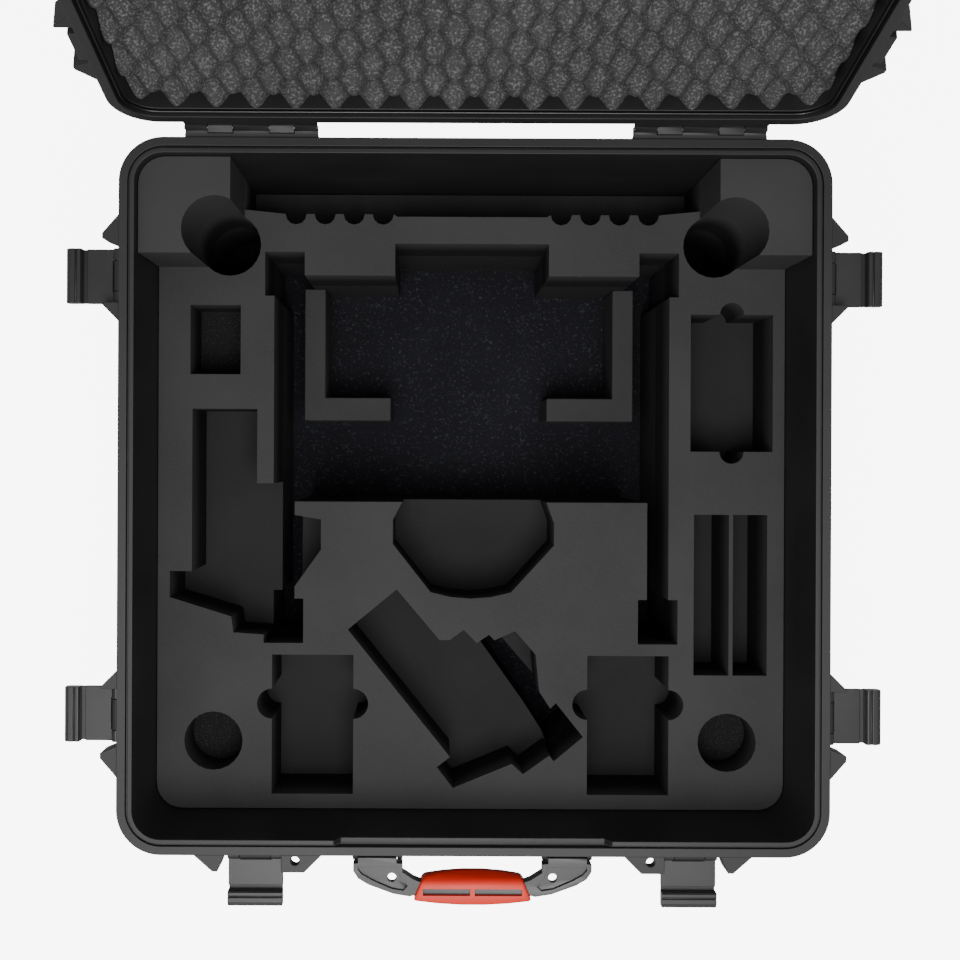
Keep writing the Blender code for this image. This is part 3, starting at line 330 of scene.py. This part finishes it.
def holed_plate(bm, loops, low, high, place):
    """Adds a plate drawn as a flat curve, its later loops being holes."""
    curve = bpy.data.curves.new("plate", "CURVE")
    curve.dimensions = "2D"
    curve.fill_mode = "BOTH"
    curve.extrude = (high - low) / 2
    for loop in loops:
        line = curve.splines.new("POLY")
        line.points.add(len(loop) - 1)
        for point, (x, y) in zip(line.points, loop):
            point.co = (x, y, 0, 1)
        line.use_cyclic_u = True
    drawn = bpy.data.objects.new("plate", curve)
    bpy.context.scene.collection.objects.link(drawn)
    seen = drawn.evaluated_get(bpy.context.evaluated_depsgraph_get())
    mesh = bpy.data.meshes.new_from_object(seen)
    mesh.transform(place @ Matrix.Translation((0, 0, (low + high) / 2)))
    part = bmesh.new()
    part.from_mesh(mesh)
    bmesh.ops.remove_doubles(part, verts=part.verts, dist=0.01 * MM)
    part.to_mesh(mesh)
    part.free()
    bm.from_mesh(mesh)
    bpy.data.meshes.remove(mesh)
    bpy.data.objects.remove(drawn)
    bpy.data.curves.remove(curve)


def rounded_band(bm, half_x, half_y, radius, low, high):
    """Starts a mesh as a plate with round corners from low to high, closed above and below."""
    place = Matrix.Translation((0, 0, low)) @ Matrix.Diagonal((half_x, half_y, 1, 1))
    corners = bmesh.ops.create_grid(bm, x_segments=1, y_segments=1, size=1, matrix=place)["verts"]
    bmesh.ops.bevel(
        bm, geom=corners, offset=radius, offset_type="OFFSET", segments=CORNER_STEPS, profile=0.5,
        affect="VERTICES", material=-1,
    )
    grown = bmesh.ops.extrude_face_region(bm, geom=bm.faces[:])["geom"]
    ends = [v for v in grown if isinstance(v, bmesh.types.BMVert)]
    bmesh.ops.translate(bm, verts=ends, vec=(0, 0, high - low))
    bm.normal_update()


def grow(bm, z, steps):
    """Takes the flat face at this height through steps of (inset, rise)."""
    level = [f for f in bm.faces if all(abs(v.co.z - z) < 0.01 * MM for v in f.verts)]
    face = max(level, key=lambda f: f.calc_area())
    for inset, rise in steps:
        bmesh.ops.inset_region(bm, faces=[face], thickness=inset, use_even_offset=True, use_boundary=True)
        grown = bmesh.ops.extrude_face_region(bm, geom=[face])["geom"]
        bmesh.ops.delete(bm, geom=[face], context="FACES_ONLY")
        face = [f for f in grown if isinstance(f, bmesh.types.BMFace)][0]
        bmesh.ops.translate(bm, verts=face.verts, vec=(0, 0, rise))
        bm.normal_update()


def round_edge(bm, z, width, segments):
    """Rounds the edge loop that lies at this height."""
    edges = [e for e in bm.edges if all(abs(v.co.z - z) < 0.01 * MM for v in e.verts)]
    bmesh.ops.bevel(
        bm, geom=edges, offset=width, offset_type="OFFSET", segments=segments, profile=0.5, affect="EDGES",
        material=-1,
    )


# ---- Shells ----


def base_shell():
    """The rim band, then its sealing profile and the room inside, then the outer wall down to the foot."""
    bm = bmesh.new()
    band_low = BASE_HEIGHT - RIM_BAND
    rounded_band(bm, RIM_X / 2, RIM_Y / 2, RIM_RADIUS, band_low, BASE_HEIGHT)
    grow(bm, BASE_HEIGHT, [
        (FLAT_WIDTH, -GROOVE_DEPTH),
        (GROOVE_WIDTH, GROOVE_DEPTH + TONGUE_RISE),
        (RIM_WIDTH - FLAT_WIDTH - GROOVE_WIDTH, FLOOR - BASE_HEIGHT - TONGUE_RISE),
    ])
    grow(bm, band_low, [(RIM_WIDTH - WALL, -band_low)])
    round_edge(bm, 0.0, EDGE_ROUND, 5)
    lower_tongue(bm)
    shell = made(bm, "base_shell_skin", SHELL, "shell_plastic", "base")
    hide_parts("base_shell")
    soften(shell, 0.8 * MM)


def lower_tongue(bm):
    """Lowers the tongue along the middle of the front, with sloping ends."""
    ends = (LIP_GAP_HALF, LIP_GAP_HALF + LIP_GAP_SLOPE)
    for x in (-ends[1], -ends[0], ends[0], ends[1]):
        parts = bm.verts[:] + bm.edges[:] + bm.faces[:]
        bmesh.ops.bisect_plane(bm, geom=parts, dist=0.001 * MM, plane_co=(x, 0, 0), plane_no=(1, 0, 0))
    out, inner = -RIM_Y / 2 + FLAT_WIDTH, -RIM_Y / 2 + RIM_WIDTH
    for v in bm.verts:
        on_lip = abs(v.co.x) < ends[0] + 0.1 * MM and out - 0.1 * MM < v.co.y < inner + 0.1 * MM
        if on_lip and (v.co.z > BASE_HEIGHT + 1 * MM or abs(v.co.z - BASE_HEIGHT + GROOVE_DEPTH) < 0.1 * MM):
            v.co.z = BASE_HEIGHT - LIP_GAP_DEPTH


def lid_shell():
    bm = bmesh.new()
    low, top = BASE_HEIGHT + GAP, BASE_HEIGHT + LID_HEIGHT
    rounded_band(bm, RIM_X / 2, RIM_Y / 2, RIM_RADIUS, low, low + LID_BAND)
    channel_in = FLAT_WIDTH + GROOVE_WIDTH - CHANNEL_LAP
    channel_top = BASE_HEIGHT + CHANNEL_DEEP
    grow(bm, low, [
        (channel_in, channel_top - low), (RIM_WIDTH - channel_in, top - LID_TOP_WALL - channel_top),
    ])
    grow(bm, low + LID_BAND, [(RIM_WIDTH - WALL, top - low - LID_BAND)])
    round_edge(bm, top, EDGE_ROUND, 5)
    shell = made(bm, "lid_shell_skin", SHELL, "shell_plastic", "lid", OPEN_LID)
    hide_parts("lid_shell")
    soften(shell, 0.8 * MM)


def rib_section():
    half = RIB_WIDTH / 2
    foot = half + RIB_RISE / 2
    return [(-foot, -WALL / 2), (-half, RIB_RISE), (half, RIB_RISE), (foot, -WALL / 2)]


def base_ribs():
    bm = bmesh.new()
    for side in ("front", "back", "left", "right"):
        for along in FRONT_RIBS if side == "front" else SIDE_RIBS:
            place = beside(side, along, out=WALL - RIM_WIDTH)
            bar(bm, rib_section(), RIB_FOOT, BASE_HEIGHT - RIM_BAND + 2 * MM, place)
    soften(made(bm, "base_ribs", SHELL, "shell_plastic", "base"), 1.4 * MM, 3)


def lid_ribs():
    """Two broad bars that keep a stacked case from sliding."""
    bm = bmesh.new()
    half = LID_RIB_LENGTH / 2
    top = BASE_HEIGHT + LID_HEIGHT
    for middle in (-LID_RIB_X, LID_RIB_X):
        x0, x1 = middle - LID_RIB_WIDTH / 2, middle + LID_RIB_WIDTH / 2
        outline = [(x0, -half), (x1, -half), (x1, half), (x0, half)]
        bar(bm, outline, top - 2 * MM, top + LID_RIB_RISE, Matrix())
    soften(made(bm, "lid_ribs", SHELL, "shell_plastic", "lid", OPEN_LID), 2.0 * MM, 3)


def latch_guards(name, body, low, high, tab_low, tab_high, place):
    """The fin and the gusset beside each latch; the front gussets are tabs with a padlock hole."""
    bm = bmesh.new()
    for side, middle in LATCHES.values():
        at = beside(side, middle, math.copysign(1, middle))
        tip, foot = FIN_NEAR + FIN_SLOPE, FIN_NEAR + FIN_LONG
        fin = [(FIN_NEAR - 1 * MM, -3 * MM), (FIN_NEAR, 0), (tip, FIN_OUT), (tip + FIN_TIP, FIN_OUT),
               (foot, 0), (foot, -3 * MM)]
        bar(bm, fin, low, high, at)
        far = TAB_TIP if side == "front" else GUSSET_NEAR + GUSSET_TOP
        gusset = [(-GUSSET_NEAR, -3 * MM), (-GUSSET_NEAR, FIN_OUT), (-far, FIN_OUT), (-far - FIN_OUT, 0),
                  (-far - FIN_OUT, -3 * MM)]
        if side == "front":
            hole = arc((-PADLOCK_AT, PADLOCK_RADIUS + PADLOCK_EDGE), PADLOCK_RADIUS, 0, 345, 23)
            holed_plate(bm, [gusset, hole], tab_low, tab_high, at)
        else:
            bar(bm, gusset, low, high, at)
    soften(made(bm, name, SHELL, "shell_plastic", body, place), 0.9 * MM)


def base_lugs():
    """Half-round lugs that hold the latches' and the handle's pins."""
    bm = bmesh.new()
    section = [(-PIVOT_OUT - 2 * MM, -LUG_RADIUS), *arc((0, 0), LUG_RADIUS, -90, 90, 12),
               (-PIVOT_OUT - 2 * MM, LUG_RADIUS)]
    for side, middle in LATCHES.values():
        place = beside(side, middle, out=PIVOT_OUT, z=PIVOT_Z)
        bar(bm, section, -LUG_WIDTH / 2, LUG_WIDTH / 2, place, "X")
    place = beside("front", 0, out=PIVOT_OUT, z=PIVOT_Z)
    for start in (HANDLE_HALF + LATCH_PLAY, HANDLE_HALF - HANDLE_ROOT - LATCH_PLAY - HANDLE_LUG):
        for sign in (-1, 1):
            low, high = sorted((sign * start, sign * (start + HANDLE_LUG)))
            bar(bm, section, low, high, place, "X")
    soften(made(bm, "base_lugs", SHELL, "shell_plastic", "base"), 0.6 * MM)


def lid_catches():
    """The ledges that the latches hook over."""
    bm = bmesh.new()
    half = CATCH_WIDTH / 2
    for side, middle in LATCHES.values():
        section = [(-3 * MM, BASE_HEIGHT + 2 * GAP), (CATCH_OUT, BASE_HEIGHT + 2 * GAP),
                   (CATCH_OUT, CATCH_TOP), (-3 * MM, CATCH_TOP)]
        bar(bm, section, -half, half, beside(side, middle), "X")
    soften(made(bm, "lid_catches", SHELL, "shell_plastic", "lid", OPEN_LID), 0.8 * MM)


# ---- Latches, handle and other fittings ----


def latches():
    """Plates windowed round their lugs, with a thin neck before the hook and three ridges for the thumb."""
    half = LATCH_WIDTH / 2
    room = LUG_WIDTH / 2 + LATCH_PLAY
    window = LUG_RADIUS + WINDOW_PAST_LUG
    under = -LATCH_DROP - LATCH_PLATE
    root = -LUG_RADIUS
    hook = LATCH_REACH - HOOK_LENGTH
    plate = [(-half, root), (-room, root), (-room, window), (room, window), (room, root), (half, root),
             (half, hook - 4 * MM), (-half, hook - 4 * MM)]
    neck = [(hook - 5 * MM, under + 0.3 * MM), (hook + 1 * MM, under + 0.3 * MM),
            (hook + 1 * MM, under + 2 * MM), (hook - 5 * MM, under + 2 * MM)]
    bow = [(hook, under), (LATCH_REACH - 2 * MM, under), (LATCH_REACH, under + 2 * MM),
           (LATCH_REACH, HOOK_RISE - 3.4 * MM), (LATCH_REACH - 1.6 * MM, HOOK_RISE - 1.4 * MM),
           (LATCH_REACH - 3.4 * MM, HOOK_RISE - 1.2 * MM), (LATCH_REACH - 3.8 * MM, HOOK_RISE),
           (hook + 6.4 * MM, HOOK_RISE), (hook + 5.9 * MM, HOOK_RISE - 1.3 * MM),
           (hook + 4.9 * MM, HOOK_RISE - 1.3 * MM), (hook + 4.4 * MM, HOOK_RISE),
           (hook + 1.6 * MM, HOOK_RISE), (hook, HOOK_RISE - 1.6 * MM)]
    web = [(-room - 1 * MM, 1 * MM), (room + 1 * MM, 1 * MM), (room + 1 * MM, window + 1 * MM),
           (-room - 1 * MM, window + 1 * MM)]
    barrel = arc((0, 0), LUG_RADIUS, 0, 345, 23)
    for latch, (side, middle) in LATCHES.items():
        place = beside(side, middle, out=PIVOT_OUT, z=PIVOT_Z)
        bm = bmesh.new()
        bar(bm, plate, under, -LATCH_DROP, place)
        bar(bm, web, under + 0.4 * MM, under + 1.8 * MM, place)
        bar(bm, neck, -half + 0.2 * MM, half - 0.2 * MM, place, "X")
        bar(bm, bow, -half, half, place, "X")
        for sign in (-1, 1):
            low, high = sorted((sign * room, sign * half))
            bar(bm, barrel, low, high, place, "X")
        for number in range(THUMB_RIDGES):
            at = LATCH_REACH - (RIDGE_FIRST + RIDGE_PITCH * number) * MM
            ridge = [(at - 1.1 * MM, under + 1 * MM), (at - 0.7 * MM, under - 0.7 * MM),
                     (at + 0.7 * MM, under - 0.7 * MM), (at + 1.1 * MM, under + 1 * MM)]
            bar(bm, ridge, -half + RIDGE_END, half - RIDGE_END, place, "X")
        piece = made(bm, f"latch_{latch}_skin", LATCH, "latch_nylon", f"latch_{latch}")
        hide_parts(f"latch_{latch}")
        soften(piece, 0.6 * MM)
        from_node(f"latch_pin_{latch}", f"latch_pin_{latch}_skin", PIN, "base", 0.3 * MM)


def handle():
    from_node("handle_frame", "handle_frame_skin", LATCH, "handle", 0.6 * MM)
    for side in ("left", "right"):
        from_node(f"handle_pin_{side}", f"handle_pin_{side}_skin", PIN, "base", 0.3 * MM)
    from_node("handle_grip", "handle_grip_skin", GRIP, "handle", 0.8 * MM, 3, 50)


def hinges():
    for side in ("left", "right"):
        from_node(f"base_hinge_{side}", f"base_hinge_{side}_skin", SHELL, "base", 0.5 * MM)
        from_node(f"lid_hinge_{side}", f"lid_hinge_{side}_skin", SHELL, "lid", 0.5 * MM)
        from_node(f"hinge_pin_{side}", f"hinge_pin_{side}_skin", PIN, "base", 0.3 * MM)


def valve():
    from_node("pressure_valve_body", "pressure_valve_body_skin", SHELL, "base")
    from_node("pressure_valve_knob", "pressure_valve_knob_skin", LATCH, "base", 1.0 * MM, 3)


# ---- Foam ----


def foam_inserts():
    layers = [
        ("foam_bottom_pad", PAD, "pad_foam", 0.0),
        ("foam_lower_layer", LOWER, "insert_foam", 1.4),
        ("foam_main_layer", INSERT, "insert_foam", 1.6),
        ("foam_corner_block_left", OFFCUT, "insert_foam", 1.8),
        ("foam_corner_block_right", OFFCUT, "insert_foam", 1.8),
        ("foam_cradle_left", OFFCUT, "insert_foam", 1.4),
        ("foam_cradle_right", OFFCUT, "insert_foam", 1.4),
    ]
    for node, look, slot, width in layers:
        piece = from_node(node, node + "_skin", look, "base", width * MM, 3)


def egg_crate():
    """The convoluted sheet in the lid: staggered rows of round peaks over a solid back."""
    bm = bmesh.new()
    half_x, half_y = RIM_X / 2 - RIM_WIDTH - FOAM_GAP, RIM_Y / 2 - RIM_WIDTH - FOAM_GAP
    radius = RIM_RADIUS - RIM_WIDTH - FOAM_GAP
    place = Matrix.Diagonal((half_x, half_y, 1, 1))
    bmesh.ops.create_grid(bm, x_segments=EGG_STEPS, y_segments=EGG_STEPS, size=1, matrix=place)
    peak = BASE_HEIGHT + EGG_PEAK_BELOW_RIM
    back = BASE_HEIGHT + LID_HEIGHT - LID_TOP_WALL - GAP
    for v in bm.verts:
        round_corner(v, half_x, half_y, radius)
        wave = math.cos(2 * math.pi * (v.co.x - EGG_FIRST_X) / EGG_PITCH_X)
        wave *= math.cos(2 * math.pi * (v.co.y - half_y) / EGG_PITCH_Y)
        v.co.z = peak + EGG_DEEP * (1 - wave) / 2 + EGG_BOW * (v.co.x / half_x) ** 2
    skirt = bmesh.ops.extrude_face_region(bm, geom=bm.faces[:])["geom"]
    top = [v for v in skirt if isinstance(v, bmesh.types.BMVert)]
    for v in top:
        v.co.z = back
    bmesh.ops.dissolve_limit(
        bm, angle_limit=math.radians(0.5), verts=top,
        edges=[e for e in bm.edges if all(abs(v.co.z - back) < 0.01 * MM for v in e.verts)],
    )
    sheet = made(bm, "lid_foam_skin", EGG, "egg_crate_foam", "lid", OPEN_LID, 60)
    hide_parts("lid_foam")


def round_corner(v, half_x, half_y, radius):
    """Draws a grid's square corner in to a round one."""
    dx, dy = abs(v.co.x) - (half_x - radius), abs(v.co.y) - (half_y - radius)
    if dx > 0 and dy > 0:
        share = max(dx, dy) / math.hypot(dx, dy)
        v.co.x = math.copysign(half_x - radius + dx * share, v.co.x)
        v.co.y = math.copysign(half_y - radius + dy * share, v.co.y)


def seal():
    from_node("lid_seal", "lid_seal_skin", SEAL, "lid", sharp=80)


def build():
    base_shell()
    base_ribs()
    base_lugs()
    latch_guards(
        "base_guards", "base", BASE_HEIGHT - RIM_BAND + 2 * MM, BASE_HEIGHT - 3 * MM, BASE_HEIGHT - 13 * MM,
        BASE_HEIGHT - 1 * MM, Matrix(),
    )
    lid_shell()
    lid_ribs()
    lid_catches()
    low = BASE_HEIGHT + GAP
    latch_guards(
        "lid_guards", "lid", low + 2 * MM, low + LID_BAND - 2 * MM, low + 0.5 * MM, low + 12 * MM, OPEN_LID
    )
    seal()
    latches()
    handle()
    hinges()
    valve()
    foam_inserts()
    egg_crate()


# ---- Floor, light and camera ----


def sheet(name, look, size, z, wall=0.0):
    """A level square sheet, with walls round it where they are asked for."""
    bm = bmesh.new()
    bmesh.ops.create_grid(bm, x_segments=1, y_segments=1, size=size, matrix=Matrix.Translation((0, 0, z)))
    if wall:
        grown = bmesh.ops.extrude_edge_only(bm, edges=bm.edges[:])["geom"]
        ends = [v for v in grown if isinstance(v, bmesh.types.BMVert)]
        bmesh.ops.translate(bm, verts=ends, vec=(0, 0, wall))
    mesh = bpy.data.meshes.new(name)
    bm.to_mesh(mesh)
    bm.free()
    mesh.materials.append(look)
    piece = bpy.data.objects.new(name, mesh)
    bpy.context.scene.collection.objects.link(piece)
    return piece


def floor():
    """A plain pale floor, and over it a glowing sheet that only whitens the view."""
    matte = new_material("white matte floor", "#d8d8d8", 0.9, specular=0.1)[0]
    sheet("studio_floor", matte, FLOOR_HALF, -1 * MM)
    glow, _, shader, _ = new_material("white backlit acrylic sheet", "#f4f4f4", 0.8, specular=0.0)
    shader.inputs["Emission Color"].default_value = (1, 1, 1, 1)
    shader.inputs["Emission Strength"].default_value = FLOOR_GLOW
    backlit = sheet("studio_sheet", glow, FLOOR_HALF, -0.3 * MM, BACKDROP_TALL)
    backlit.visible_diffuse = False
    backlit.visible_glossy = False
    backlit.visible_transmission = False
    backlit.visible_shadow = False


def softbox(name, spot, target, size, power):
    light = bpy.data.lights.new(name, "AREA")
    light.shape = "DISK"
    light.size = size
    light.energy = power
    lamp = bpy.data.objects.new(name, light)
    lamp.location = spot
    lamp.rotation_euler = (Vector(target) - Vector(spot)).to_track_quat("-Z", "Y").to_euler()
    bpy.context.scene.collection.objects.link(lamp)


def lights():
    world = bpy.context.scene.world or bpy.data.worlds.new("studio")
    bpy.context.scene.world = world
    world.use_nodes = True
    sky = world.node_tree.nodes["Background"]
    sky.inputs["Color"].default_value = (1, 1, 1, 1)
    sky.inputs["Strength"].default_value = SKY
    softbox("front softbox", (-0.5, -1.2, 2.4), (0, 0, 0.2), 1.6, 12)
    softbox("overhead softbox", (0.0, -0.42, 1.9), (0, -0.2, 0.2), 0.9, 24)


def camera():
    """Straight above the case, a little left of and behind its middle, framed to the whole base."""
    lens = bpy.data.cameras.new("camera")
    lens.sensor_width = 36
    lens.lens = 49.8
    lens.shift_x = 0.0487
    lens.shift_y = -0.0260
    lens.clip_end = 50
    stand = bpy.data.objects.new("camera", lens)
    stand.location = (-0.0386, 0.0393, BASE_HEIGHT + 1.241)
    stand.rotation_euler.z = math.radians(0.25)
    bpy.context.scene.collection.objects.link(stand)
    bpy.context.scene.camera = stand


build()
floor()
lights()
camera()
